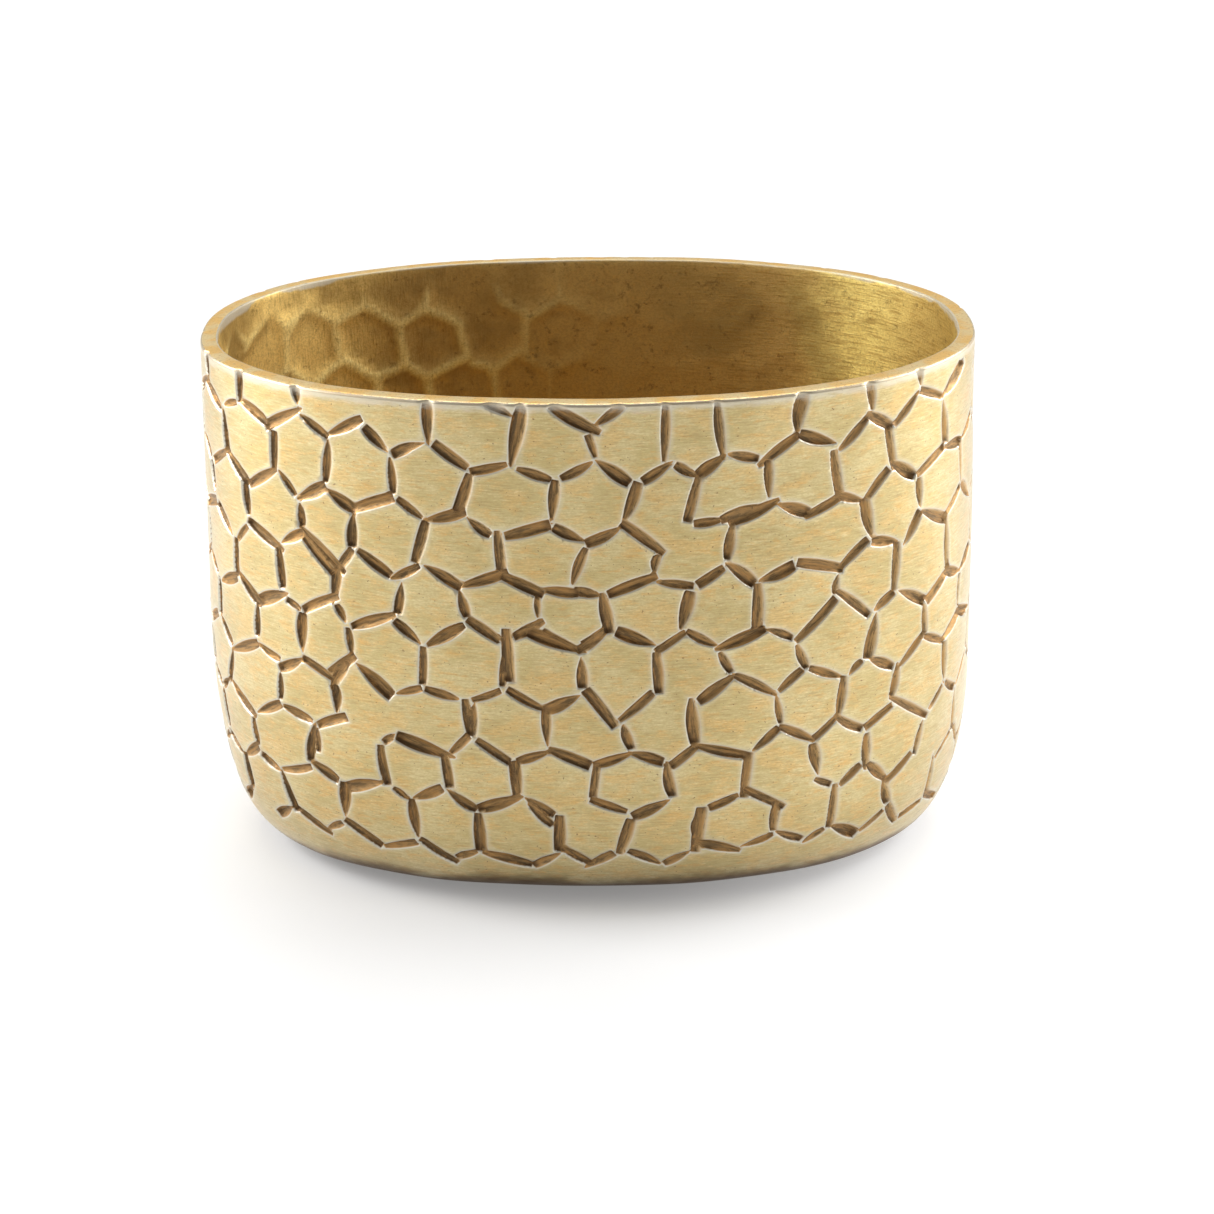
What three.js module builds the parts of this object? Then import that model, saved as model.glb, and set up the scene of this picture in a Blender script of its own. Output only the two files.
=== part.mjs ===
// An oval planter pot, cast in brass: one casting, with four felt pads stuck under its base.
// Millimetres, +Z up. The origin is the centre of the footprint, on the surface the pads stand on.
// +X runs along the pot's length and +Y across its width.
import * as THREE from "three";

// Driving dimensions
const HALF_LENGTH = 115; // rim outline, along X
const HALF_WIDTH = 76; // rim outline, along Y
const OUTLINE_POWER = 2.2; // superellipse power of the outline: 2 is an ellipse, more is squarer
const POT_HEIGHT = 157; // underside of the casting to its rim
const WALL = 5;
const FLOOR = 5;
const BELLY = 1.1; // how far the wall swells past the rim outline, just above the bottom corner
const CORNER_RUN = 25.6; // how far the rounded bottom corner draws in
const CORNER_RISE = 71; // height at which that corner starts
const CORNER_POWER = 2.7; // superellipse power of the corner's section
const RIM_ROUND = 1; // radius of both edges of the flat rim
const PAD_RADIUS = 9;
const PAD_THICKNESS = 1.7;
const ADHESIVE = 0.3; // film between each pad and the casting
const PAD_X = 60; // pad centres
const PAD_Y = 25;

// Fineness of the mesh
const ROUND_STEPS = 72;
const CORNER_STEPS = 9;
const WALL_STEPS = 5;
const RIM_STEPS = 3;
const PAD_STEPS = 32;

// Every ring of the wall is this much longer than it is wide, halved, and the flat floor starts here
const NARROWER = HALF_LENGTH - HALF_WIDTH;
const FLOOR_HALF_LENGTH = HALF_LENGTH + BELLY - CORNER_RUN - WALL;

const BRASS = { color: 0xcaa965, metalness: 1, roughness: 0.38 };
const FELT = { color: 0x5a4a3a, metalness: 0, roughness: 0.95 };

// How far the wall stands outside the rim outline at height z.
function belly(z) {
  const rise = Math.max(0, (z - CORNER_RISE) / (POT_HEIGHT - CORNER_RISE));
  return (BELLY * (1 + Math.cos(Math.PI * rise))) / 2;
}

// Points up one face of the wall as (half-length of the oval ring, height), from its lowest ring to
// just under the rim's rounding. inset is 0 for the outer face, and bottom is its lowest height.
function facePoints(inset, bottom) {
  const points = [];
  for (let i = 0; i <= CORNER_STEPS; i++) {
    const angle = (Math.PI / 2) * (1 - i / CORNER_STEPS);
    const drawIn = CORNER_RUN * (1 - Math.cos(angle) ** (2 / CORNER_POWER));
    const z = CORNER_RISE - (CORNER_RISE - bottom) * Math.sin(angle) ** (2 / CORNER_POWER);
    points.push(new THREE.Vector2(HALF_LENGTH - inset - drawIn + belly(z), z));
  }
  const top = POT_HEIGHT - RIM_ROUND;
  for (let i = 1; i < WALL_STEPS; i++) {
    const z = CORNER_RISE + ((top - CORNER_RISE) * i) / WALL_STEPS;
    points.push(new THREE.Vector2(HALF_LENGTH - inset + belly(z), z));
  }
  return points;
}

// The rim's two rounded edges with the flat face between them, from the outer face to the inner one.
function rimPoints() {
  const points = [];
  for (const [centre, start] of [
    [HALF_LENGTH - RIM_ROUND, 0],
    [HALF_LENGTH - WALL + RIM_ROUND, Math.PI / 2],
  ])
    for (let i = 0; i <= RIM_STEPS; i++) {
      const angle = start + ((Math.PI / 2) * i) / RIM_STEPS;
      const ring = centre + RIM_ROUND * Math.cos(angle);
      points.push(new THREE.Vector2(ring, POT_HEIGHT - RIM_ROUND * (1 - Math.sin(angle))));
    }
  return points;
}

// Half-width of the oval ring whose half-length is given. The wall's rings keep one distance inside
// the outline all round, and rings on the flat floor shrink evenly to its centre.
function halfWidthOf(halfLength) {
  if (halfLength > FLOOR_HALF_LENGTH) return halfLength - NARROWER;
  return (halfLength * (FLOOR_HALF_LENGTH - NARROWER)) / FLOOR_HALF_LENGTH;
}

// Presses a round turned shape, with Z as its axis, into the pot's oval.
function pressOval(geometry) {
  const position = geometry.getAttribute("position");
  const onOutline = (t) => Math.sign(t) * Math.abs(t) ** (2 / OUTLINE_POWER);
  for (let i = 0; i < position.count; i++) {
    const ring = Math.hypot(position.getX(i), position.getY(i));
    if (ring === 0) continue;
    const x = ring * onOutline(position.getX(i) / ring);
    const y = halfWidthOf(ring) * onOutline(position.getY(i) / ring);
    position.setXY(i, x, y);
  }
  geometry.computeVertexNormals();
  return geometry;
}

// The casting: floor and wall in one piece, open at the top.
function potBody() {
  const profile = [
    new THREE.Vector2(0, 0),
    ...facePoints(0, 0),
    ...rimPoints(),
    ...facePoints(WALL, FLOOR).reverse(),
    new THREE.Vector2(0, FLOOR),
  ];
  const turned = new THREE.LatheGeometry(profile, ROUND_STEPS).rotateX(Math.PI / 2);
  const mesh = new THREE.Mesh(pressOval(turned), new THREE.MeshStandardMaterial(BRASS));
  mesh.name = "pot_body";
  mesh.position.z = PAD_THICKNESS + ADHESIVE;
  return mesh;
}

// A self-adhesive felt disc that keeps the casting off the furniture.
function feltPad(name, x, y) {
  const disc = new THREE.CylinderGeometry(PAD_RADIUS, PAD_RADIUS, PAD_THICKNESS, PAD_STEPS);
  const mesh = new THREE.Mesh(disc, new THREE.MeshStandardMaterial(FELT));
  mesh.name = name;
  mesh.rotation.x = Math.PI / 2;
  mesh.position.set(x, y, PAD_THICKNESS / 2);
  return mesh;
}

const planter = new THREE.Group();
planter.add(potBody());
for (const [end, x] of [["left", -PAD_X], ["right", PAD_X]])
  for (const [side, y] of [["front", -PAD_Y], ["back", PAD_Y]])
    planter.add(feltPad(`felt_pad_${side}_${end}`, x, y));

export default planter;
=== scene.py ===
"""An oval planter pot, cast in brass, with a honeycomb of chisel marks cut into its walls.

The casting is one closed mesh. Its outer wall is a triangle mesh on the unrolled wall, with points set
along each chisel mark, and everything else is rings of points round the oval. Lengths are in
millimetres until a mesh is made, then metres. On the unrolled wall, u runs round the rim's outline from
the middle of the back and v runs up the wall from the base.
"""
import math

import bmesh
import bpy
import numpy as np
from mathutils import Matrix, Vector
from mathutils.geometry import delaunay_2d_cdt


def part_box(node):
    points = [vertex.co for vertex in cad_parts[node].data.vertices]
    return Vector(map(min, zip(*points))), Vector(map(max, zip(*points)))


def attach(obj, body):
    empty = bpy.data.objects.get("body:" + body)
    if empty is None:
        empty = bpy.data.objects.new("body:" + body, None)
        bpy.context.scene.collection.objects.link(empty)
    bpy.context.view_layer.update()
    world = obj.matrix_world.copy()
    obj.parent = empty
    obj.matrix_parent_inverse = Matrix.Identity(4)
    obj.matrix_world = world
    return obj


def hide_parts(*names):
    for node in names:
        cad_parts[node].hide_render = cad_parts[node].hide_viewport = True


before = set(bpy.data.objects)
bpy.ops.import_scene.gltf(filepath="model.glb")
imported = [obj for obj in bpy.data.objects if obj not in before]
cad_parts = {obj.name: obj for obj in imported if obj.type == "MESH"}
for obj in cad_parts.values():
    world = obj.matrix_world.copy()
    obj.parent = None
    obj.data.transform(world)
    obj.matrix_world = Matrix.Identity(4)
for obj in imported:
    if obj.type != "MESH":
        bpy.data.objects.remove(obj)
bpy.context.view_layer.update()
MM = 0.001
rng = np.random.default_rng(23)

# ---- Driving sizes of the casting, as the CAD part has them
body_low, body_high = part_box("pot_body")
BELLY = 1.1
HALF_LENGTH = body_high[0] / MM - BELLY
HALF_WIDTH = body_high[1] / MM - BELLY
BASE_Z = body_low[2] / MM
HEIGHT = body_high[2] / MM - BASE_Z
OUTLINE_POWER = 2.2
WALL = 5.0
FLOOR = 5.0
CORNER_RUN = 25.6
CORNER_RISE = 71.0
CORNER_POWER = 2.7

# ---- The finer shape that only the looks need
SKIN = 0.4  # the outer wall stays this far inside the CAD wall, which leaves room for its unevenness
WAVE = 0.4  # how uneven the hand-finished wall is
RIM_ROUND = 0.9
BEVEL = 0.5  # the broken inner edge of the rim
LIP_WIDTH = 0.55  # width of the burnished edge round each chisel mark
LIP_HEIGHT = 0.09
RUN_OUT = 1.1  # how far across the rim a mark that runs out over it still shows
RIDGE_HEIGHT = 1.25  # the marks' soft ridges on the inside of the wall
RIDGE_WIDTH = 2.1
COLUMNS = 336  # points round the inside and the base
EDGE_COLUMNS = 2 * COLUMNS  # points round the outer edge of the rim
FILL_SPACING = 2.4  # between mesh points on the wall's plain faces
CLOSEST = 0.24  # no two mesh points inside the wall's border are closer than this
NO_MARK = 5.0  # the distance to the nearest mark that is given where no mark is near


# ---- The outline and the wall's section
def on_outline(angle, inset):
    """Plan position of a point on the oval ring that lies inset inside the rim's outline."""
    c, s = np.cos(angle), np.sin(angle)
    x = (HALF_LENGTH - inset) * np.sign(c) * np.abs(c) ** (2 / OUTLINE_POWER)
    y = (HALF_WIDTH - inset) * np.sign(s) * np.abs(s) ** (2 / OUTLINE_POWER)
    return x, y


OUTLINE_ANGLE = np.linspace(math.pi / 2, math.pi * 5 / 2, 7201)
_x, _y = on_outline(OUTLINE_ANGLE, 0.0)
OUTLINE_U = np.concatenate([[0.0], np.cumsum(np.hypot(np.diff(_x), np.diff(_y)))])
PERIMETER = OUTLINE_U[-1]


def face_section(depth, bottom, top):
    """Fine samples (v, inset, height) up one face of the wall. depth is 0 for the outer face."""
    angle = np.linspace(math.pi / 2, 0, 1500)
    inset = CORNER_RUN * (1 - np.cos(angle) ** (2 / CORNER_POWER))
    z = CORNER_RISE - (CORNER_RISE - bottom) * np.sin(angle) ** (2 / CORNER_POWER)
    upper = np.linspace(CORNER_RISE, top, 500)[1:]
    inset = np.concatenate([inset, np.zeros(len(upper))]) + depth
    z = np.concatenate([z, upper])
    rise = np.clip((z - CORNER_RISE) / (HEIGHT - CORNER_RISE), 0, 1)
    inset = inset - BELLY * (1 + np.cos(math.pi * rise)) / 2
    v = np.concatenate([[0.0], np.cumsum(np.hypot(np.diff(inset), np.diff(z)))])
    return v, inset, z


OUTER = face_section(SKIN, 0.0, HEIGHT - RIM_ROUND)
INNER = face_section(WALL, FLOOR, HEIGHT - BEVEL)
V_TOP = OUTER[0][-1]
V_LOW = float(np.interp(9.0, OUTER[2], OUTER[0]))  # below this height the wall has no marks


def unevenness(u, drop):
    """The slow waves of a wall ground by hand, at a distance drop below the rim."""
    a = 2 * math.pi * u / PERIMETER
    waves = np.sin(5 * a + 0.035 * drop + 0.6) + np.sin(9 * a - 0.05 * drop + 1.3)
    return WAVE * (waves + np.sin(14 * a + 0.09 * drop + 4.0)) / 3


def thicker(u):
    """How much thicker than WALL the casting is. It is thinner at the back, and thicker at the front."""
    return 0.4 - 0.75 * np.cos(2 * math.pi * u / PERIMETER)


def place(section, u, v, cut=0.0):
    """Positions on a face of the wall. cut moves each along the face's normal, into the metal."""

    def at(u, v):
        inset = np.interp(v, section[0], section[1]) + unevenness(u, section[0][-1] - v)
        z = np.interp(v, section[0], section[2])
        x, y = on_outline(np.interp(u % PERIMETER, OUTLINE_U, OUTLINE_ANGLE), inset)
        return np.stack([x, y, z], axis=-1)

    step = 0.2
    low_v = np.clip(v - step, 0, section[0][-1])
    high_v = np.clip(v + step, 0, section[0][-1])
    along = at(u + step, v) - at(u - step, v)
    up = at(u, high_v) - at(u, low_v)
    normal = np.cross(along, up)
    normal /= np.linalg.norm(normal, axis=-1, keepdims=True)
    return at(u, v) - normal * np.reshape(cut, (-1, 1))


def narrowing(v):
    """How much shorter the ring at v is than the rim's outline."""
    inset = np.interp(v, OUTER[0], OUTER[1])
    return 1 - 2 * math.pi * inset / PERIMETER


# ---- The honeycomb of chisel marks
CELLS = 29
ROWS = 8
TOP_SHARE = 0.3  # the top row's middles are this share of ROW_PITCH below the rim
FOOT_GAP = 9  # the lowest corners of the honeycomb are about this far above V_LOW
CELL_WIDTH = PERIMETER / CELLS
ROW_PITCH = (V_TOP - V_LOW - FOOT_GAP) / (ROWS - 0.5 + TOP_SHARE)
CELL_JITTER = (0.13, 0.12)  # of the cells' middles, as shares of CELL_WIDTH and ROW_PITCH
CORNER_JITTER = 0.9
LEAN = (-0.95, -0.3)  # the chisel leaned towards this direction of (u, v), which makes that side steep
SHOULDER = 0.22  # how deep the worn edge on the gentle side is rounded
MARK_DEPTH = 1.3  # depth of a mark
MARK_WIDTH = 3.4  # that is this wide
SHORTEST_MARK = 5.0
MISSING, DOUBLED, CROSSING = 0.025, 0.05, 0.12  # shares of the marks

# For each kind of mark: how full its blunt end and its other end are, where it is widest, and its width
MARK_KINDS = {
    "boat": (0.74, 0.12, 0.34, 4.1),
    "bar": (0.86, 0.66, 0.45, 3.5),
    "spindle": (0.62, 0.34, 0.46, 3.75),
}
KIND_SHARES = (0.42, 0.35, 0.23)


def apart(u, other):
    """Signed distance round the outline from other to u, the short way."""
    return (u - other + PERIMETER / 2) % PERIMETER - PERIMETER / 2


class Mark:
    """One cut of the chisel, from a blunt, deep end to an end that is drawn out, square or pointed."""

    def __init__(self, start, end, kind):
        self.u, self.v = (start + end) / 2
        self.scale = float(narrowing(self.v))
        du, dv = end - start
        du *= self.scale
        self.length = math.hypot(du, dv)
        self.cos, self.sin = du / self.length, dv / self.length
        self.blunt, self.tail, self.peak, width = MARK_KINDS[kind]
        self.tail = float(np.clip(self.tail + rng.uniform(-0.14, 0.14), 0.05, 1))
        self.blunt = float(np.clip(self.blunt + rng.uniform(-0.12, 0.12), 0.2, 1))
        self.width = width * rng.uniform(0.8, 1.15) * min(1, 0.45 + self.length / 24)
        self.depth = MARK_DEPTH * self.width / MARK_WIDTH * rng.uniform(0.85, 1.15)
        self.bow = rng.normal(0, 0.22)  # how far its middle is off the straight line between its ends
        self.lean = LEAN[1] * self.cos - LEAN[0] * self.sin
        self.name = rng.uniform(0, 50)  # gives each mark streaks of its own

    def to_wall(self, s, t):
        """Wall coordinates of a point s along the mark from its middle and t across it."""
        t = t + self.bow * (1 - (2 * s / self.length) ** 2)
        u = self.u + (s * self.cos - t * self.sin) / self.scale
        return u, self.v + s * self.sin + t * self.cos

    def from_wall(self, u, v):
        """The place (s, t) in the mark of a point on the wall."""
        du = apart(u, self.u) * self.scale
        dv = v - self.v
        s = du * self.cos + dv * self.sin
        t = dv * self.cos - du * self.sin
        return s, t - self.bow * (1 - np.clip(2 * s / self.length, -1, 1) ** 2)

    def half_width(self, s):
        """Half the mark's width at a distance s from its middle."""
        x = np.clip(s / self.length + 0.5, 0, 1)
        before = 1 - (1 - self.blunt) * (np.clip(self.peak - x, 0, 1) / self.peak) ** 2
        after = 1 - (1 - self.tail) * (np.clip(x - self.peak, 0, 1) / (1 - self.peak)) ** 1.8
        return self.width / 2 * np.minimum(before, after)

    def across(self, s, t):
        """How far a point is towards the cut's steep side, up to 1 at its outline and -1 at the other."""
        return self.lean * np.clip(t / np.maximum(self.half_width(s), 0.05), -1, 1)

    def cut(self, s, t):
        """Depth of the cut, 0 outside it."""
        x = np.clip(s / self.length + 0.5, 0, 1)
        run_out = 1 - (1 - self.tail) * np.clip((x - 0.4) / 0.6, 0, 1) ** 1.6
        wall = np.clip(np.minimum(s + self.length / 2, self.length / 2 - s) / 0.45, 0, 1)
        q = np.clip(np.abs(t) / np.maximum(self.half_width(s), 0.05), 0, 1)
        steep = self.across(s, t)
        section = (1 - q ** (2.4 + 3 * np.clip(steep, 0, 1))) * (1 + 0.35 * steep)
        return self.depth * run_out * wall * section

    def shoulder(self, s, t):
        """How deep the worn edge on the cut's gentle side is rounded."""
        beside = np.clip(self.edge(s, t), 0, NO_MARK)
        middle = np.clip((self.length / 2 - np.abs(s)) / 2, 0, 1)
        return SHOULDER * np.clip(-self.across(s, t), 0, 1) * middle * np.exp(-((beside / 0.7) ** 2))

    def edge(self, s, t):
        """Distance outside the mark's outline, negative inside it."""
        return np.maximum(np.abs(t) - self.half_width(s), np.abs(s) - self.length / 2)

    def points(self):
        """Where the mesh needs points to hold the mark's shape: its middle, floor, outline and lip."""
        half = self.length / 2
        steps = max(4, round((self.length - 0.9) / 1.5))
        found = []
        for s in np.linspace(0.45 - half, half - 0.45, steps + 1):
            w = float(self.half_width(s))
            rings = (0, 0.62 * w, w, w + LIP_WIDTH) if w > 0.7 else (0, w, w + LIP_WIDTH)
            found += [(s, side * t) for t in rings for side in (-1, 1) if t or side > 0]
        for s, end in ((-half, -1), (half, 1)):
            w = float(self.half_width(s))
            for t in (-0.9 * w, 0, 0.9 * w) if w > 0.5 else (0,):
                found += [(s, t), (s + end * LIP_WIDTH, t * 0.8)]
            found += [(s + end * 0.3, side * (w + 0.3)) for side in (-1, 1) if w > 0.5]
        s, t = np.array(found).T
        return np.stack(self.to_wall(s, t), axis=-1)


def row_drift(u, j):
    """How far row j rises, as a share of ROW_PITCH: it goes up and down slowly, and least at the foot."""
    a = 2 * math.pi * u / PERIMETER
    drift = 0.1 - 0.3 * math.cos(2 * a) + 0.1 * math.sin(3 * a + 1)
    return drift * min(1, (ROWS - j) / ROWS)


def lattice_corners():
    """Corners of a jittered honeycomb: where three cells meet, for each row gap and each cell."""
    rows = range(-1, ROWS + 2)
    top = V_TOP - TOP_SHARE * ROW_PITCH
    centre = {}
    for j in rows:
        for i in range(CELLS):
            u = (i + 0.5 * (j % 2) + rng.normal(0, CELL_JITTER[0])) * CELL_WIDTH
            v = top - (j + rng.normal(0, CELL_JITTER[1]) - row_drift(u, j)) * ROW_PITCH
            centre[i, j] = np.array([u, v])

    def cell(i, j):
        return centre[i % CELLS, j] + np.array([(i // CELLS) * PERIMETER, 0.0])

    up, down = {}, {}
    for j in list(rows)[:-1]:
        for i in range(CELLS):
            k = i + j % 2
            above = (cell(i, j) + cell(i + 1, j) + cell(k, j + 1)) / 3
            below = (cell(k, j + 1) + cell(k + 1, j + 1) + cell(i + 1, j)) / 3
            up[i, j] = above + rng.normal(0, CORNER_JITTER, 2)
            down[i, j] = below + rng.normal(0, CORNER_JITTER, 2)
    return up, down


def lattice_sides():
    """The (corner, corner) pairs of the honeycomb's sides."""
    up, down = lattice_corners()

    def corner(table, i, j):
        return table[i % CELLS, j] + np.array([(i // CELLS) * PERIMETER, 0.0])

    sides = []
    for j in range(-1, ROWS):
        for i in range(CELLS):
            sides.append((corner(up, i, j), corner(down, i, j)))
            sides.append((corner(down, i - 1, j), corner(up, i, j)))
            if j >= 0:
                sides.append((corner(up, i, j), corner(down, i - (j - 1) % 2, j - 1)))
    return sides


def stop_short(mark, others):
    """Shortens a mark's ends until they stop at a thin wall before the marks already cut."""
    gap = rng.uniform(0.1, 0.45)
    # Marks further off than this can't touch it
    near = [m for m in others if abs(m.v - mark.v) < 26 and abs(apart(m.u, mark.u)) < 30]
    ends = {-1: 0.0, 1: 0.0}
    step = 0.4
    for end in ends:
        for _ in range(6):
            s = end * (mark.length / 2 - ends[end])
            tip = float(mark.half_width(end * mark.length / 2))
            s = np.full(3, s) - [0, end * 1.2, end * 1.2]
            t = np.array([0, tip + 0.3, -tip - 0.3])
            u, v = mark.to_wall(s, t)
            if min((float(np.min(m.edge(*m.from_wall(u, v)))) for m in near), default=NO_MARK) > gap:
                break
            ends[end] += step
    s = np.array([ends[-1] - mark.length / 2, mark.length / 2 - ends[1]])
    u, v = mark.to_wall(s, 0.0)
    return np.array([u[0], v[0]]), np.array([u[1], v[1]])


def wanted_marks():
    """The (start, end, kind) of a mark along each side of the honeycomb, before they stop short."""
    wanted = []
    for a, b in lattice_sides():
        if rng.random() < 0.5:
            a, b = b, a
        missing = rng.random() < MISSING
        doubled = rng.random() < DOUBLED
        for copy in range(2 if doubled else 1):
            shift = rng.normal(0, 0.7, (2, 2)) + (rng.normal(0, 1.2, (2, 2)) if copy else 0)
            start, end = a + shift[0], b + shift[1]
            along = (end - start) / np.linalg.norm(end - start)
            start = start - along * rng.uniform(-0.2, 1.6)
            end = end + along * rng.uniform(-0.4, 2.2)
            high, low = (start, end) if start[1] > end[1] else (end, start)
            steep = high[1] - low[1] > 0.8 * np.linalg.norm(high - low)
            if missing or low[1] > V_TOP - 4 or low[1] < V_LOW + 1:
                continue
            kind = rng.choice(list(MARK_KINDS), p=KIND_SHARES)
            # A mark that comes close to the rim is drawn out to it, or over it
            if high[1] > V_TOP - (5 if steep else 0.5):
                high += (high - low) / (high[1] - low[1]) * (V_TOP + rng.uniform(-1.0, 2.8) - high[1])
                start, end = high, low
            wanted.append((start, end, kind))
    return wanted


def make_marks():
    """All the marks, in the order in which they are cut."""
    wanted = wanted_marks()
    marks = []
    for n in rng.permutation(len(wanted)):
        start, end, kind = wanted[n]
        mark = Mark(start, end, kind)
        if rng.random() > CROSSING:
            start, end = stop_short(mark, marks)
        if np.linalg.norm(end - start) > SHORTEST_MARK:
            marks.append(Mark(start, end, kind))
    return marks


# ---- Cutting the marks into the wall
def carve(marks, u, v):
    """For each point: depth of metal cut away, distance outside the nearest mark, lip height, the place
    in the mark that cuts deepest there, and how far that place is towards the mark's steep side. A place
    is a share of the mark's length, -0.5 at its blunt end, then a distance across it, then its name."""
    depth = np.zeros(len(u))
    edge = np.full(len(u), NO_MARK)
    inside = np.zeros((len(u), 3))
    lean = np.zeros(len(u))
    shoulder = np.zeros(len(u))
    for mark in marks:
        reach = mark.length / 2 + 3
        du = np.abs(apart(u, mark.u))
        near = np.nonzero((du < reach / mark.scale) & (np.abs(v - mark.v) < reach))[0]
        s, t = mark.from_wall(u[near], v[near])
        cut = mark.cut(s, t)
        gap = mark.edge(s, t)
        closer = gap < edge[near]
        edge[near[closer]] = gap[closer]
        deeper = (cut > depth[near]) | (closer & (depth[near] == 0))
        place_in = np.stack([s / mark.length, t, np.full(len(s), mark.name)], axis=-1)
        inside[near[deeper]] = place_in[deeper]
        lean[near[deeper]] = mark.across(s, t)[deeper]
        shoulder[near] = np.maximum(shoulder[near], mark.shoulder(s, t))
        depth[near] = np.maximum(depth[near], cut)
    fade = 1 - 0.3 * np.clip((v - V_TOP + 2) / 2, 0, 1)  # the marks are shallower just under the rim
    lip = LIP_HEIGHT * np.exp(-((edge / (0.7 * LIP_WIDTH)) ** 2)) * (edge > 0)
    depth = np.maximum(depth, shoulder)
    return depth * fade, edge, lip, inside, lean


def thin_out(points, spacing):
    """Drops points that lie within about spacing of an earlier one."""
    kept = {}
    keys = np.floor(points / spacing).astype(int)
    for n, key in enumerate(map(tuple, keys)):
        clash = False
        for du in (-1, 0, 1):
            for dv in (-1, 0, 1):
                other = kept.get((key[0] + du, key[1] + dv))
                if other is not None and np.hypot(*(points[n] - points[other])) < spacing:
                    clash = True
        if not clash:
            kept[key] = n
    return points[sorted(kept.values())]


def wall_points(marks):
    """Points of the unrolled outer wall, those on its border first."""
    edge_row = np.linspace(0, PERIMETER, EDGE_COLUMNS + 1)
    low_row = np.linspace(0, PERIMETER, COLUMNS + 1)
    seam = np.linspace(V_LOW, V_TOP, 300)[1:-1]
    border = [np.stack([edge_row, np.full(len(edge_row), V_TOP)], axis=-1)]
    border.append(np.stack([low_row, np.full(len(low_row), V_LOW)], axis=-1))
    border += [np.stack([np.full(len(seam), side), seam], axis=-1) for side in (0.0, PERIMETER)]
    own = []
    for mark in marks:
        points = mark.points()
        points[:, 0] %= PERIMETER
        s, t = mark.from_wall(points[:, 0], points[:, 1])
        own.append(np.column_stack([points, mark.cut(s, t), mark.edge(s, t)]))
    own = np.concatenate(own)
    depth, edge = carve(marks, own[:, 0], own[:, 1])[:2]
    # Points of one mark that lie inside another are cut away
    hidden = (edge < own[:, 3] - 0.08) & (depth >= own[:, 2] - 0.02) & (own[:, 1] < V_TOP - 2.5)
    own = own[~hidden][:, :2]
    across = np.arange(0, PERIMETER, FILL_SPACING)
    up = np.arange(V_LOW, V_TOP, FILL_SPACING * 0.866)  # rows of equal-sided triangles
    fill = np.array([(x + FILL_SPACING / 2 * (n % 2), y) for n, y in enumerate(up) for x in across])
    fill = fill + rng.uniform(-0.3, 0.3, fill.shape)
    edge = carve(marks, fill[:, 0], fill[:, 1])[1]
    fill = fill[edge > LIP_WIDTH + 0.6]
    inner = np.concatenate([own, fill])
    margin = 0.3
    keep = (inner[:, 0] > margin) & (inner[:, 0] < PERIMETER - margin)
    keep &= (inner[:, 1] > V_LOW + margin) & (inner[:, 1] < V_TOP - margin)
    return np.concatenate(border), thin_out(inner[keep], CLOSEST)


def triangulate(points):
    """The corners of each triangle of a flat mesh over the points, as indices into them."""
    places = [Vector(p) for p in points.tolist()]
    _, _, faces, origins, _, _ = delaunay_2d_cdt(places, [], [], 0, 1e-7)
    order = np.array([o[0] for o in origins])
    return order[np.array(faces)]


def refine(marks, border, inner, passes, error, budget):
    """Adds points in the middle of mesh edges that miss the true surface by more than error, the worst
    first, and at most budget of them in each pass."""
    shortest, longest = 0.55, 9
    for _ in range(passes):
        points = np.concatenate([border, inner])
        faces = triangulate(points)
        sides = np.sort(np.concatenate([faces[:, [0, 1]], faces[:, [1, 2]], faces[:, [2, 0]]]), axis=1)
        sides = np.unique(sides, axis=0)
        length = np.linalg.norm(points[sides[:, 0]] - points[sides[:, 1]], axis=1)
        sides = sides[(length > shortest) & (length < longest)]
        depth = carve(marks, points[:, 0], points[:, 1])[0]
        middle = (points[sides[:, 0]] + points[sides[:, 1]]) / 2
        within = (np.abs(middle[:, 0] - PERIMETER / 2) < PERIMETER / 2 - 0.2) & (middle[:, 1] < V_TOP - 0.2)
        within &= middle[:, 1] > V_LOW + 0.2
        sides, middle = sides[within], middle[within]
        true_depth = carve(marks, middle[:, 0], middle[:, 1])[0]
        miss = np.abs(true_depth - (depth[sides[:, 0]] + depth[sides[:, 1]]) / 2)
        order = np.argsort(-miss)
        order = order[miss[order] > error][:budget]
        inner = thin_out(np.concatenate([inner, middle[order]]), CLOSEST)
    return inner


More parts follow.
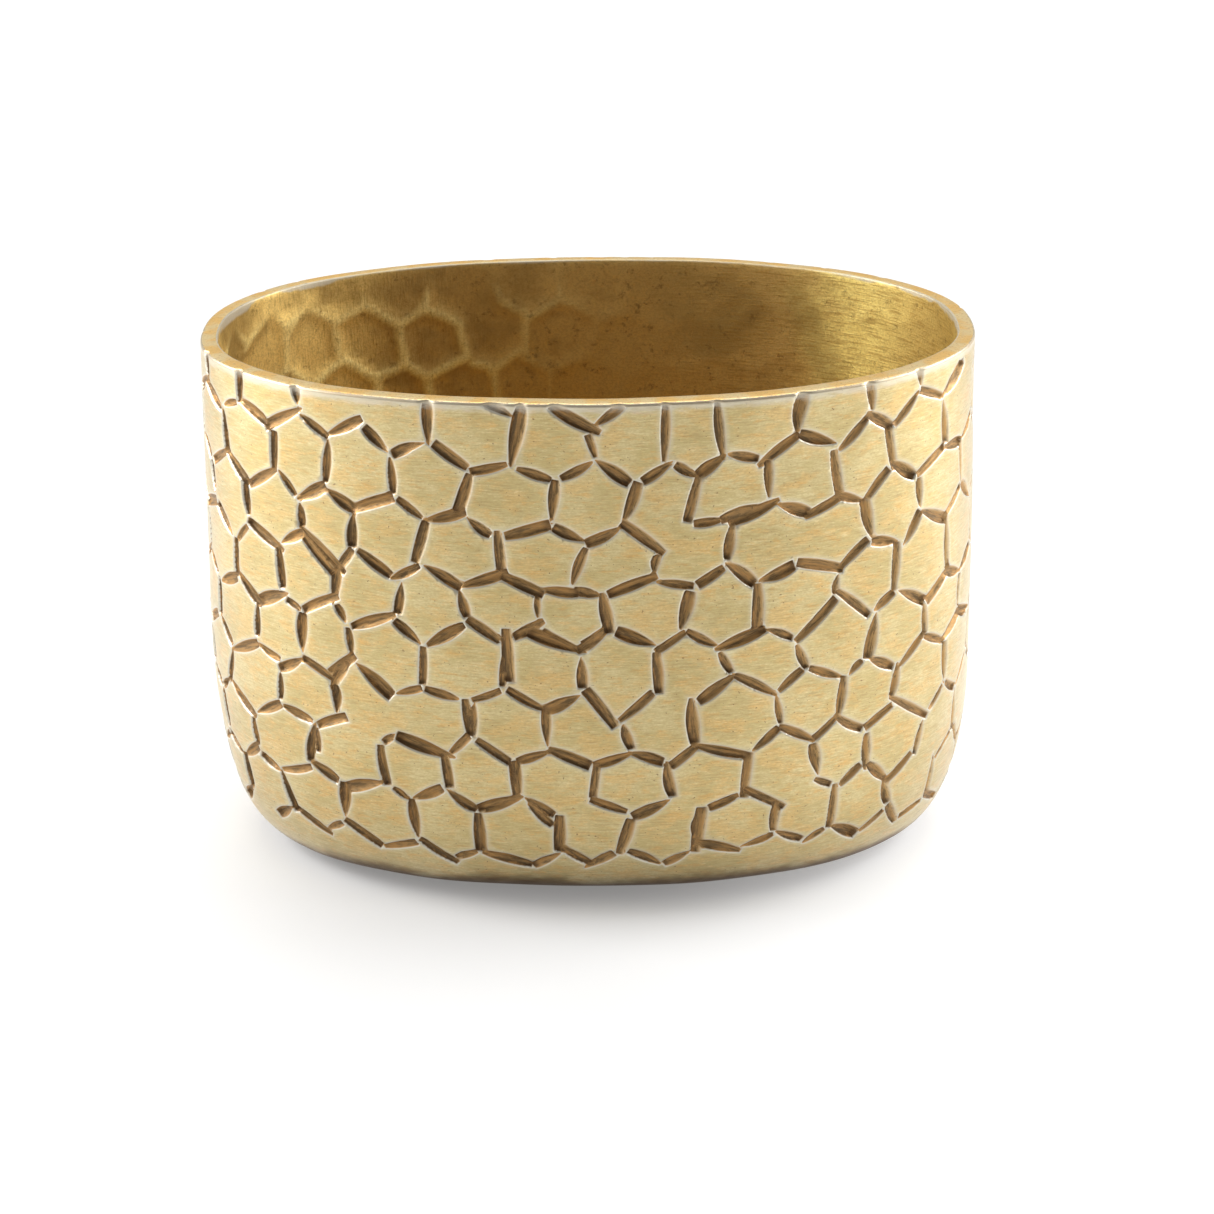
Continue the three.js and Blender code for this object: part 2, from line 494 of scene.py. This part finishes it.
# ---- Building the casting
class Weave:
    """Vertices and faces of one mesh made of welded rings, with what carve says of each vertex.

    On the inside of the casting, depth is the height of the ridges instead.
    """

    def __init__(self):
        self.vertices, self.faces, self.slots = [], [], []
        self.edge, self.depth, self.lean, self.inside = [], [], [], []

    def add(self, points, edge=NO_MARK, depth=0.0, lean=0.0, inside=0.0):
        """Adds vertices and returns their numbers."""
        first = len(self.vertices)
        self.vertices += np.asarray(points).tolist()
        self.edge += np.broadcast_to(edge, len(points)).tolist()
        self.depth += np.broadcast_to(depth, len(points)).tolist()
        self.lean += np.broadcast_to(lean, len(points)).tolist()
        self.inside += np.broadcast_to(inside, (len(points), 3)).tolist()
        return np.arange(first, len(self.vertices))

    def face(self, corners, slot):
        self.faces.append([int(c) for c in corners])
        self.slots.append(slot)

    def bridge(self, low, high, slot):
        """Joins two rings with the same count of points, or with twice as many in one of them."""
        if len(low) == len(high):
            for a, b, c, d in zip(low, np.roll(low, -1), np.roll(high, -1), high):
                self.face((a, b, c, d), slot)
            return
        if len(low) < len(high):
            low, high = high, low
        for n, apex in enumerate(high):
            a, b, c = low[2 * n], low[2 * n + 1], low[(2 * n + 2) % len(low)]
            after = high[(n + 1) % len(high)]
            self.face((a, b, apex), slot)
            self.face((b, after, apex), slot)
            self.face((b, c, after), slot)

    def cap(self, ring, centre, slot):
        """Joins a ring to one vertex in its middle."""
        for a, b in zip(ring, np.roll(ring, -1)):
            self.face((a, b, centre), slot)


OUTSIDE, RIM, INSIDE = range(3)


def add_wall(weave, marks):
    """The chiselled outer wall. Returns its bottom ring, its top ring and how deep marks cut the top."""
    border, inner = wall_points(marks)
    inner = refine(marks, border, inner, passes=2, error=0.08, budget=6000)
    points = np.concatenate([border, inner])
    faces = triangulate(points)
    depth, edge, lip, inside, lean = carve(marks, points[:, 0], points[:, 1])
    lip *= np.clip((V_TOP - points[:, 1]) / 2, 0, 1)
    places = place(OUTER, points[:, 0], points[:, 1], depth - lip)
    ends = np.nonzero(points[:, 0] == PERIMETER)[0]
    starts = np.nonzero(points[:, 0] == 0)[0]
    starts = starts[np.argsort(points[starts, 1])]
    ends = ends[np.argsort(points[ends, 1])]
    index = np.full(len(points), -1)
    own = np.setdiff1d(np.arange(len(points)), ends)
    index[own] = weave.add(places[own], edge[own], depth[own], lean[own], inside[own])
    index[ends] = index[starts]
    for corners in index[faces]:
        weave.face(corners, OUTSIDE)
    edge_ring = index[:EDGE_COLUMNS]
    low_ring = index[EDGE_COLUMNS + 1 : EDGE_COLUMNS + 1 + COLUMNS]
    return low_ring, edge_ring, depth[:EDGE_COLUMNS]


def ring_u(count):
    """Where count points stand round the outline."""
    return np.linspace(0, PERIMETER, count, endpoint=False)


def add_base(weave, ring):
    """From the outer wall's bottom ring, round the corner and across the flat underside."""
    u = ring_u(COLUMNS)
    for v in np.linspace(V_LOW, 0, 10)[1:]:
        after = weave.add(place(OUTER, u, np.full(COLUMNS, v)))
        weave.bridge(ring, after, OUTSIDE)
        ring = after
    rim = np.array([weave.vertices[n] for n in ring])
    for share in (0.9, 0.6, 0.25):
        after = weave.add(rim * [share, share, 1])
        weave.bridge(ring, after, OUTSIDE)
        ring = after
    weave.cap(ring, weave.add([[0, 0, rim[0, 2]]])[0], OUTSIDE)


def rim_ring(count, inset, z, cuts):
    """A ring on the rim, pushed in where a mark runs out over the outer edge."""
    u = ring_u(count)
    inset = inset + cuts * np.exp(-inset / RUN_OUT) + unevenness(u, 0.0) + SKIN
    x, y = on_outline(np.interp(u, OUTLINE_U, OUTLINE_ANGLE), inset)
    return np.stack([x, y, np.full(count, z)], axis=-1)


def add_rim(weave, ring, cuts):
    """The rim's worn outer edge, its flat sanded face and its broken inner edge."""
    for angle in (22, 45, 68, 90):
        inset = RIM_ROUND * (1 - math.cos(math.radians(angle)))
        z = HEIGHT - RIM_ROUND * (1 - math.sin(math.radians(angle)))
        after = weave.add(rim_ring(EDGE_COLUMNS, inset, z, cuts))
        weave.bridge(ring, after, RIM)
        ring = after
    after = weave.add(rim_ring(EDGE_COLUMNS, 1.6, HEIGHT, cuts))
    weave.bridge(ring, after, RIM)
    ring = after
    none = np.zeros(COLUMNS)
    inner_edge = WALL - SKIN + thicker(ring_u(COLUMNS))
    for inset in (2.4, inner_edge - BEVEL):
        after = weave.add(rim_ring(COLUMNS, inset, HEIGHT, none))
        weave.bridge(ring, after, RIM)
        ring = after
    for angle in (30, 60, 90):
        inset = inner_edge - BEVEL * (1 - math.sin(math.radians(angle)))
        z = HEIGHT - BEVEL * (1 - math.cos(math.radians(angle)))
        after = weave.add(rim_ring(COLUMNS, inset, z, none))
        weave.bridge(ring, after, INSIDE)
        ring = after
    return ring


def ridges(marks, u, v):
    """Height of the soft ridges that the casting's inside shows behind the marks."""
    raised = np.zeros(len(u))
    for mark in marks:
        du = np.abs(apart(u, mark.u))
        near = np.nonzero((du < 16) & (np.abs(v - mark.v) < 16))[0]
        s, t = mark.from_wall(u[near], v[near])
        over = np.maximum(np.abs(s) - mark.length / 2 + 1, 0)
        raised[near] = np.maximum(raised[near], np.exp(-(t**2 + over**2) / RIDGE_WIDTH**2))
    a = 2 * math.pi * u / PERIMETER  # a quarter turn is the left end, where the ridges show most
    patchy = 0.35 + 0.55 * np.sin(a - 0.3) + 0.25 * np.sin(3 * a + v / 30 + 2)
    fade = np.clip((V_TOP - v) / 10, 0, 1) * np.clip(v / 60, 0, 1)  # none at the rim or at the floor
    return RIDGE_HEIGHT * raised * np.clip(patchy, 0.12, 1) * fade


def add_inside(weave, marks, ring):
    """From the rim's inner edge, down the inner face and across the flat floor."""
    u = ring_u(COLUMNS)
    v_top = INNER[0][-1]
    levels = np.concatenate([np.arange(0, 62, 1.7), np.linspace(63, v_top, 30)])[1:]
    for drop in levels:
        v = np.full(COLUMNS, v_top - drop)
        ridge = ridges(marks, u, v + V_TOP - v_top)
        raised = thicker(u) * min(v[0] / 60, 1) + ridge
        after = weave.add(place(INNER, u, v, raised), depth=ridge)
        weave.bridge(ring, after, INSIDE)
        ring = after
    rim = np.array([weave.vertices[n] for n in ring])
    for share in (0.9, 0.7, 0.45, 0.2):
        after = weave.add(rim * [share, share, 1])
        weave.bridge(ring, after, INSIDE)
        ring = after
    weave.cap(ring, weave.add([[0, 0, rim[0, 2]]])[0], INSIDE)


def to_object(name, vertices, faces, materials, slots=None):
    """A new object from vertices in millimetres."""
    mesh = bpy.data.meshes.new(name)
    mesh.from_pydata((np.asarray(vertices) * MM).tolist(), [], faces)
    for material in materials:
        mesh.materials.append(material)
    if slots is not None:
        mesh.polygons.foreach_set("material_index", slots)
    mesh.polygons.foreach_set("use_smooth", [True] * len(mesh.polygons))
    mesh.update()
    piece = bpy.data.objects.new(name, mesh)
    bpy.context.scene.collection.objects.link(piece)
    return piece


def face_outwards(piece):
    """Turns every face of a closed mesh outwards."""
    work = bmesh.new()
    work.from_mesh(piece.data)
    bmesh.ops.recalc_face_normals(work, faces=work.faces)
    work.to_mesh(piece.data)
    work.free()


# ---- Materials
class Shader:
    """A material's node tree, with short calls for the nodes used here."""

    def __init__(self, name):
        self.material = bpy.data.materials.new(name)
        self.material.use_nodes = True
        self.nodes = self.material.node_tree.nodes
        self.links = self.material.node_tree.links
        self.surface = self.nodes["Principled BSDF"]
        self.place = self.nodes.new("ShaderNodeTexCoord").outputs["Object"]

    def link(self, value, socket):
        """Links a socket to value, or sets it to value where that is a number or a colour."""
        if isinstance(value, bpy.types.NodeSocket):
            self.links.new(value, socket)
        else:
            socket.default_value = value

    def attribute(self, name, output="Fac"):
        node = self.nodes.new("ShaderNodeAttribute")
        node.attribute_name = name
        return node.outputs[output]

    def math(self, operation, a, b=0.0, c=0.0):
        node = self.nodes.new("ShaderNodeMath")
        node.operation = operation
        for socket, value in zip(node.inputs, (a, b, c)):
            self.link(value, socket)
        return node.outputs[0]

    def ramp(self, value, low, high, out_low=0.0, out_high=1.0):
        """Smoothly from out_low at low to out_high at high."""
        node = self.nodes.new("ShaderNodeMapRange")
        node.interpolation_type = "SMOOTHSTEP"
        for socket, number in zip(node.inputs, (value, low, high, out_low, out_high)):
            self.link(number, socket)
        return node.outputs[0]

    def noise(self, scale, detail=3.0, roughness=0.5, vector=None):
        """Noise over position, with scale in cycles per millimetre along X, Y and Z. Where a vector is
        given, scale is in cycles per unit of it instead."""
        unit = MM if vector is None else 1
        stretch = self.nodes.new("ShaderNodeMapping")
        stretch.inputs["Scale"].default_value = [s / unit for s in scale]
        self.link(self.place if vector is None else vector, stretch.inputs["Vector"])
        node = self.nodes.new("ShaderNodeTexNoise")
        self.link(stretch.outputs[0], node.inputs["Vector"])
        node.inputs["Scale"].default_value = 1.0
        node.inputs["Detail"].default_value = detail
        node.inputs["Roughness"].default_value = roughness
        return node.outputs["Fac"]

    def split(self, vector):
        """The X, Y and Z of a vector."""
        node = self.nodes.new("ShaderNodeSeparateXYZ")
        self.link(vector, node.inputs[0])
        return node.outputs

    def mix(self, share, a, b):
        node = self.nodes.new("ShaderNodeMix")
        node.data_type = "RGBA"
        self.link(share, node.inputs["Factor"])
        self.link(a, node.inputs["A"])
        self.link(b, node.inputs["B"])
        return node.outputs["Result"]

    def bump(self, height, distance, strength=1.0, after=None):
        """Bump of the given height in millimetres."""
        node = self.nodes.new("ShaderNodeBump")
        node.inputs["Distance"].default_value = distance * MM
        node.inputs["Strength"].default_value = strength
        self.link(height, node.inputs["Height"])
        if after is not None:
            self.link(after, node.inputs["Normal"])
        return node.outputs[0]

    def finish(self, color, roughness, metallic, normal=None):
        """Sets the surface's main inputs and returns the material."""
        self.link(color, self.surface.inputs["Base Color"])
        self.link(roughness, self.surface.inputs["Roughness"])
        self.link(metallic, self.surface.inputs["Metallic"])
        if normal is not None:
            self.link(normal, self.surface.inputs["Normal"])
        return self.material


def srgb(r, g, b):
    """A display colour, 11 to 255 in each channel, as the linear colour that nodes take."""
    linear = [((c / 255 + 0.055) / 1.055) ** 2.4 for c in (r, g, b)]
    return (*linear, 1.0)


def below_rim(sh):
    """Distance below the top of the rim in millimetres, and X in metres."""
    x, _, z = sh.split(sh.place)
    return sh.math("MULTIPLY_ADD", z, -1 / MM, BASE_Z + HEIGHT), x


def wall_faces(sh, cloud, streak, fleck):
    """Colour of the brushed brass between the marks."""
    patch = sh.noise((0.11, 0.11, 0.2), 3, 0.65)
    grain = sh.noise((1.3, 1.3, 2.6), 2, 0.5)
    pits = sh.noise((1.1, 1.1, 1.3), 1, 0.5)
    face = sh.mix(sh.ramp(cloud, 0.42, 0.6), srgb(190, 172, 116), srgb(202, 186, 134))
    face = sh.mix(sh.ramp(patch, 0.46, 0.64, 0, 0.6), face, srgb(214, 176, 108))
    face = sh.mix(sh.ramp(fleck, 0.52, 0.66, 0, 0.6), face, srgb(210, 164, 90))
    face = sh.mix(sh.ramp(streak, 0.5, 0.66, 0, 0.45), face, srgb(166, 138, 84))
    face = sh.mix(sh.ramp(streak, 0.34, 0.48, 0.5, 0), face, srgb(220, 204, 156))
    face = sh.mix(sh.ramp(grain, 0.35, 0.65, 0, 0.4), face, srgb(176, 150, 98))
    return sh.mix(sh.ramp(pits, 0.72, 0.76, 0, 0.7), face, srgb(112, 84, 48))


def mark_patina_and_shade(sh, depth, lean):
    """Colour inside the marks: patina streaked along them and darkest at the blunt end, with painted shade
    and a painted shadow line on the steep side, and a lighter painted lit tone on the gentle side.
    """
    inside = sh.attribute("inside", "Vector")
    along = sh.noise((2.2, 1.1, 1.0), 4, 0.7, inside)
    blunt = sh.ramp(sh.split(inside)[0], -0.5, -0.3, 0.6, 0)
    # Lighter on the gentle side and darker on the steep side: painted light and painted shade.
    patina = sh.mix(sh.ramp(lean, -0.8, 0.0), srgb(200, 164, 108), srgb(148, 116, 72))
    patina = sh.mix(sh.ramp(lean, 0.1, 0.6), patina, srgb(104, 80, 50))
    patina = sh.mix(sh.ramp(along, 0.5, 0.62, 0, 0.6), patina, srgb(184, 138, 80))
    patina = sh.mix(sh.ramp(along, 0.38, 0.5, 0.7, 0), patina, srgb(86, 70, 46))
    patina = sh.mix(blunt, patina, srgb(88, 60, 32))
    # A dark line along the steep side's outline: painted shadow.
    patina = sh.mix(sh.ramp(lean, 0.7, 0.95, 0, 0.8), patina, srgb(76, 57, 36))
    return sh.mix(sh.ramp(depth, 0.1, 0.55, 0.75, 0), patina, srgb(196, 148, 84))


def outside_brass():
    """Brushed faces, patina in the marks with painted shade on their steep side, pale worn metal beside
    them and by the rim, a whitish burnished edge round the marks that is partly a painted highlight, and a
    foot darkened by painted shade.
    """
    sh = Shader("brass_chiselled")
    edge = sh.attribute("edge")
    lean = sh.attribute("lean")
    gentle = sh.ramp(lean, -1, 0, 1, 0)
    cloud = sh.noise((0.05, 0.05, 0.07), 3, 0.6)
    streak = sh.noise((0.25, 0.25, 2.4), 4, 0.7)
    fleck = sh.noise((0.16, 0.16, 0.6), 4, 0.7)
    crisp = sh.ramp(edge, -0.2, 0.0, 1, 0)
    soft = sh.ramp(edge, -1.0, 0.45, 1, 0)
    groove = sh.math("MULTIPLY_ADD", sh.math("SUBTRACT", soft, crisp), gentle, crisp)
    # A whitish edge hugging each mark, weaker on its gentle side: a burnished edge that is partly a painted
    # highlight.
    burnish_and_highlight = sh.ramp(edge, 0.0, 0.45, 0.62, 0)
    burnish_and_highlight = sh.math("MULTIPLY", burnish_and_highlight, sh.math("SUBTRACT", 1.0, sh.math("MULTIPLY", gentle, 0.5)))
    worn = sh.ramp(edge, 0.2, 1.7, 0.45, 0)
    color = sh.mix(worn, wall_faces(sh, cloud, streak, fleck), srgb(204, 196, 168))
    color = sh.mix(burnish_and_highlight, color, srgb(202, 202, 196))
    color = sh.mix(groove, color, mark_patina_and_shade(sh, sh.attribute("depth"), lean))
    drop, _ = below_rim(sh)
    fringe = sh.ramp(sh.math("MULTIPLY_ADD", fleck, -4.0, drop), -0.8, 1.4, 0.6, 0)
    color = sh.mix(fringe, color, srgb(208, 203, 188))
    # Browner and darker towards the base: painted shade standing in for the dark floor that the foot
    # reflects.
    foot = sh.math("MULTIPLY_ADD", cloud, 9.0, sh.math("SUBTRACT", BASE_Z + HEIGHT - 4.5, drop))
    foot = sh.ramp(foot, 5.4, 11.4, 0.95, 0)
    color = sh.mix(foot, color, srgb(92, 65, 30))
    roughness = sh.ramp(streak, 0.3, 0.7, 0.36, 0.5)
    roughness = sh.math("MULTIPLY_ADD", groove, 0.1, roughness)
    metallic = sh.math("MULTIPLY_ADD", burnish_and_highlight, -0.4, 1.0)
    coat = sh.math("MULTIPLY", sh.math("MULTIPLY_ADD", groove, -0.7, 0.8), sh.math("SUBTRACT", 1.0, foot))
    sh.link(coat, sh.surface.inputs["Coat Weight"])
    sh.surface.inputs["Coat Roughness"].default_value = 0.32
    normal = sh.bump(fleck, 0.12, 0.6)
    normal = sh.bump(streak, 0.07, 0.7, normal)
    return sh.finish(color, roughness, metallic, normal)


def rim_brass():
    """The sanded rim, with fine scratches and a dull worn edge."""
    sh = Shader("brass_rim")
    drop, _ = below_rim(sh)
    cloud = sh.noise((0.1, 0.1, 0.1), 3, 0.55)
    scratch = sh.noise((0.9, 0.9, 0.9), 4, 0.7)
    color = sh.mix(sh.ramp(cloud, 0.4, 0.6), srgb(250, 208, 130), srgb(246, 222, 168))
    color = sh.mix(sh.ramp(scratch, 0.48, 0.66, 0, 0.5), color, srgb(222, 176, 104))
    worn = sh.math("MULTIPLY_ADD", scratch, 0.6, drop)
    color = sh.mix(sh.ramp(worn, 0.32, 0.5, 0, 0.8), color, srgb(166, 160, 148))
    return sh.finish(color, sh.ramp(scratch, 0.3, 0.7, 0.38, 0.52), 0.9, sh.bump(scratch, 0.06, 0.5))


def inside_gold_and_painted_light(sh, cloud, aside, left, right):
    """Gold at both ends as painted light, duller at the far right, painted shade in the middle with dark
    painted-shade blotches on the right, and a painted highlight on the ridges.
    """
    # Brighter gold towards both ends and darker brown in the middle: painted light and painted shade by
    # position along the pot.
    ends = sh.ramp(sh.math("MULTIPLY_ADD", cloud, 0.05, aside), 0.081, 0.105)
    # Mottled dark blotches over the right half's middle: painted shade.
    shade_blotch = sh.ramp(sh.noise((0.036, 0.036, 0.045), 2, 0.5), 0.42, 0.62, 0, 0.5)
    shade_blotch = sh.math("MULTIPLY", sh.math("MULTIPLY", shade_blotch, right), sh.ramp(aside, 0.07, 0.084, 1, 0))
    crest = sh.ramp(sh.attribute("depth"), 0.25, 0.95)
    far = sh.math("MULTIPLY", right, sh.ramp(aside, 0.084, 0.104, 0, 0.7))
    gold = sh.mix(far, sh.mix(right, srgb(246, 216, 138), srgb(255, 236, 150)), srgb(190, 158, 90))
    color = sh.mix(ends, srgb(208, 176, 110), gold)
    hollow = sh.math("MULTIPLY", sh.math("SUBTRACT", 1.0, crest), sh.ramp(cloud, 0.42, 0.58, 0.1, 0.5))
    color = sh.mix(sh.math("MULTIPLY", hollow, left), color, srgb(136, 106, 56))
    # Painted highlight on the ridge crests; on the left the hollows between them are darker.
    color = sh.mix(sh.math("MULTIPLY", crest, 0.75), color, srgb(255, 242, 176))
    # The mottled blotches of painted shade.
    color = sh.mix(shade_blotch, color, srgb(120, 94, 46))
    return sh.mix(sh.ramp(cloud, 0.52, 0.68, 0, 0.5), color, srgb(158, 128, 72))


def inside_brass():
    """Gold with painted light at both ends and painted shade in the middle, and a pale band under the rim
    that is a painted reflection, wider towards the ends. The left half of the inside shows upright strokes,
    and the right half is brushed along."""
    sh = Shader("brass_inside")
    drop, x = below_rim(sh)
    aside = sh.math("ABSOLUTE", x)
    left = sh.ramp(x, -0.06, -0.01, 1, 0)
    right = sh.ramp(x, 0.0, 0.05)
    cloud = sh.noise((0.035, 0.035, 0.045), 4, 0.65)
    stroke = sh.noise((1.5, 1.5, 0.22), 3, 0.6)
    across = sh.noise((0.14, 0.14, 1.9), 3, 0.6)
    speck = sh.noise((0.3, 0.3, 0.3), 4, 0.75)
    grain = sh.noise((1.3, 1.3, 1.7), 3, 0.6)
    color = inside_gold_and_painted_light(sh, cloud, aside, left, right)
    brushed = sh.math("MULTIPLY", right, sh.ramp(across, 0.48, 0.62, 0, 0.5))
    color = sh.mix(brushed, color, srgb(172, 138, 72))
    scored = sh.math("MULTIPLY", left, sh.ramp(stroke, 0.5, 0.66, 0, 0.3))
    color = sh.mix(scored, color, srgb(140, 112, 60))
    color = sh.mix(sh.ramp(grain, 0.42, 0.62, 0, 0.28), color, srgb(150, 120, 64))
    color = sh.mix(sh.ramp(speck, 0.56, 0.7, 0, 0.5), color, srgb(110, 84, 44))
    # A whitish, ragged band under the rim, wider towards the ends: painted reflection of the rim's inner
    # bevel.
    reach = sh.ramp(aside, 0.07, 0.09, 0.3, 1.4)
    ragged = sh.math("MULTIPLY", reach, sh.ramp(cloud, 0.35, 0.65, 0.1, 1.9))
    band_reflection = sh.ramp(sh.math("SUBTRACT", drop, ragged), -0.5, 0.6, 0.8, 0)
    color = sh.mix(band_reflection, color, srgb(196, 190, 174))
    metallic = sh.math("MULTIPLY_ADD", band_reflection, -0.4, 1.0)
    normal = sh.bump(sh.math("MULTIPLY", stroke, left), 0.14, 0.7)
    normal = sh.bump(sh.math("MULTIPLY", across, right), 0.1, 0.7, normal)
    normal = sh.bump(speck, 0.15, 0.5, normal)
    normal = sh.bump(grain, 0.08, 0.6, normal)
    return sh.finish(color, sh.ramp(cloud, 0.3, 0.7, 0.52, 0.62), metallic, normal)


def felt():
    """Brown wool felt."""
    sh = Shader("felt")
    fibre = sh.noise((1.6, 1.6, 1.6), 5, 0.7)
    tuft = sh.noise((0.35, 0.35, 0.35), 3, 0.6)
    color = sh.mix(sh.ramp(fibre, 0.3, 0.7), srgb(66, 54, 44), srgb(112, 94, 76))
    color = sh.mix(sh.ramp(tuft, 0.35, 0.7, 0, 0.4), color, srgb(88, 74, 60))
    sh.surface.inputs["Sheen Weight"].default_value = 0.6
    sh.surface.inputs["Sheen Roughness"].default_value = 0.5
    return sh.finish(color, 0.95, 0.0, sh.bump(fibre, 0.25, 0.9))


# ---- Pieces
def make_casting():
    """The whole brass casting, with the attributes that its materials read."""
    marks = make_marks()
    weave = Weave()
    low_ring, edge_ring, cuts = add_wall(weave, marks)
    add_base(weave, low_ring)
    add_inside(weave, marks, add_rim(weave, edge_ring, cuts))
    vertices = np.array(weave.vertices) + [0, 0, BASE_Z]
    materials = [outside_brass(), rim_brass(), inside_brass()]
    casting = to_object("cast_pot", vertices, weave.faces, materials, weave.slots)
    for name, values in (("edge", weave.edge), ("depth", weave.depth), ("lean", weave.lean)):
        casting.data.attributes.new(name, "FLOAT", "POINT").data.foreach_set("value", values)
    inside = casting.data.attributes.new("inside", "FLOAT_VECTOR", "POINT")
    inside.data.foreach_set("vector", np.ravel(weave.inside))
    face_outwards(casting)
    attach(casting, "root")
    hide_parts("pot_body")


def make_pad(node, material):
    """A felt disc with soft, slightly uneven edges, over its adhesive film."""
    low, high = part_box(node)
    centre = (np.array(low) + np.array(high)) / 2 / MM
    radius = (high[0] - low[0]) / 2 / MM
    top = BASE_Z
    profile = [(0.0, 0.02), (0.5, 0.0), (0.9, 0.0), (0.97, 0.1), (1.0, 0.4), (1.0, top - 0.7)]
    profile += [(0.975, top - 0.34), (0.96, top - 0.3), (0.955, top), (0.0, top)]
    count = 64
    turn = np.linspace(0, 2 * math.pi, count, endpoint=False)
    weave = Weave()
    rings = []
    for share, z in profile:
        if share == 0:
            rings.append(weave.add([[0, 0, z]]))
            continue
        fray = 1 - 0.006 * (1 + np.sin(7 * turn + centre[0]) * np.sin(11 * turn + centre[1]))
        r = radius * share * fray
        rings.append(weave.add(np.stack([r * np.cos(turn), r * np.sin(turn), np.full(count, z)], axis=-1)))
    weave.cap(rings[1], rings[0][0], 0)
    for low_ring, high_ring in zip(rings[1:-2], rings[2:-1]):
        weave.bridge(low_ring, high_ring, 0)
    weave.cap(rings[-2], rings[-1][0], 0)
    vertices = np.array(weave.vertices) + [centre[0], centre[1], 0]
    pad = to_object(node.replace("felt_pad", "soft_pad"), vertices, weave.faces, [material])
    face_outwards(pad)
    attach(pad, "root")
    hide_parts(node)


make_casting()
felt_material = felt()
for node in [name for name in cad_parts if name.startswith("felt_pad")]:
    make_pad(node, felt_material)


# ---- Studio
def make_floor():
    """A pale floor that glows more with distance, less behind the pot, and more in a pool at each side."""
    bpy.ops.mesh.primitive_circle_add(vertices=96, radius=8, fill_type="NGON", location=(0, 0, 0))
    floor = bpy.context.object
    floor.name = "floor"
    sh = Shader("floor_pale")
    reach = sh.nodes.new("ShaderNodeVectorMath")
    reach.operation = "LENGTH"
    sh.link(sh.place, reach.inputs[0])
    x, y, _ = sh.split(sh.place)
    glow = sh.ramp(reach.outputs["Value"], 0.25, 1.1, 0.22, 1.06)
    glow = sh.math("MULTIPLY", glow, sh.ramp(y, 0.0, 0.35, 1, 0.82))
    pool_aside, pool_left, pool_front = 0.39, 0.03, 0.08  # the pools' middles
    along = sh.math("SUBTRACT", sh.math("ABSOLUTE", sh.math("ADD", x, pool_left)), pool_aside)
    forward = sh.math("ADD", y, pool_front)
    pool = sh.math("MULTIPLY_ADD", along, along, sh.math("MULTIPLY", forward, forward))
    pool = sh.ramp(sh.math("SQRT", pool), 0.2, 0.365, 1, 0)
    glow = sh.math("MULTIPLY_ADD", pool, sh.ramp(x, -0.1, 0.1, 0.22, 0.44), glow)
    sh.surface.inputs["Emission Color"].default_value = (1, 1, 1, 1)
    sh.link(glow, sh.surface.inputs["Emission Strength"])
    floor.data.materials.append(sh.finish((0.56, 0.56, 0.56, 1), 0.9, 0.0))


def make_world():
    """Even white light from all round."""
    world = bpy.data.worlds.new("studio")
    bpy.context.scene.world = world
    world.use_nodes = True
    background = world.node_tree.nodes["Background"]
    background.inputs["Color"].default_value = (1, 1, 1, 1)
    background.inputs["Strength"].default_value = 0.28


def area_light(name, position, target, size, watts):
    """A rectangular light that the camera doesn't see. Lengths are in metres."""
    data = bpy.data.lights.new(name, "AREA")
    data.shape = "RECTANGLE"
    data.size, data.size_y = size
    data.energy = watts
    lamp = bpy.data.objects.new(name, data)
    aim = (Vector(target) - Vector(position)).to_track_quat("-Z", "Y")
    lamp.matrix_world = Matrix.Translation(Vector(position)) @ aim.to_matrix().to_4x4()
    lamp.visible_camera = False
    bpy.context.scene.collection.objects.link(lamp)


def make_camera():
    """A long lens a metre away, looking down 21 degrees, a touch to the pot's right and rolled a little."""
    pitch, turn, roll = 0.37373, 0.02253, 0.01323  # radians
    distance, aside, above = 9.249, 0.04378, 0.09251  # in rim half-lengths
    forward = Vector((0, math.cos(pitch), -math.sin(pitch)))
    right, up = Vector((1, 0, 0)), Vector((0, math.sin(pitch), math.cos(pitch)))
    rolled = math.cos(roll) * right - math.sin(roll) * up
    rolled_up = math.sin(roll) * right + math.cos(roll) * up
    offset = (aside * rolled - above * rolled_up - distance * forward) * HALF_LENGTH * MM
    centre = Vector((0, 0, (BASE_Z + HEIGHT / 2) * MM))
    axes = Matrix((rolled, rolled_up, -forward)).transposed().to_4x4()
    data = bpy.data.cameras.new("camera")
    data.lens = 103.3
    data.sensor_width = 36.0
    camera = bpy.data.objects.new("camera", data)
    around = Matrix.Rotation(turn, 4, "Z")
    camera.matrix_world = Matrix.Translation(centre) @ around @ Matrix.Translation(offset) @ axes
    bpy.context.scene.collection.objects.link(camera)
    bpy.context.scene.camera = camera


make_floor()
make_world()
make_camera()
area_light("left", (-0.6, -0.08, 0.36), target=(0, 0, 0.12), size=(0.55, 0.64), watts=2.2)
area_light("right", (0.61, 0.04, 0.36), target=(0, 0, 0.12), size=(0.55, 0.64), watts=2.7)
area_light("key_left", (-0.6, 0.0, 0.42), target=(0.08, 0.03, 0.13), size=(0.3, 0.3), watts=3.7)
area_light("key_right", (0.6, 0.12, 0.42), target=(-0.08, 0.03, 0.13), size=(0.3, 0.3), watts=2.2)
area_light("top", (0, 0.35, 1.35), target=(0, 0, 0.1), size=(1.2, 1.2), watts=10)
bpy.context.scene.view_settings.view_transform = "Standard"
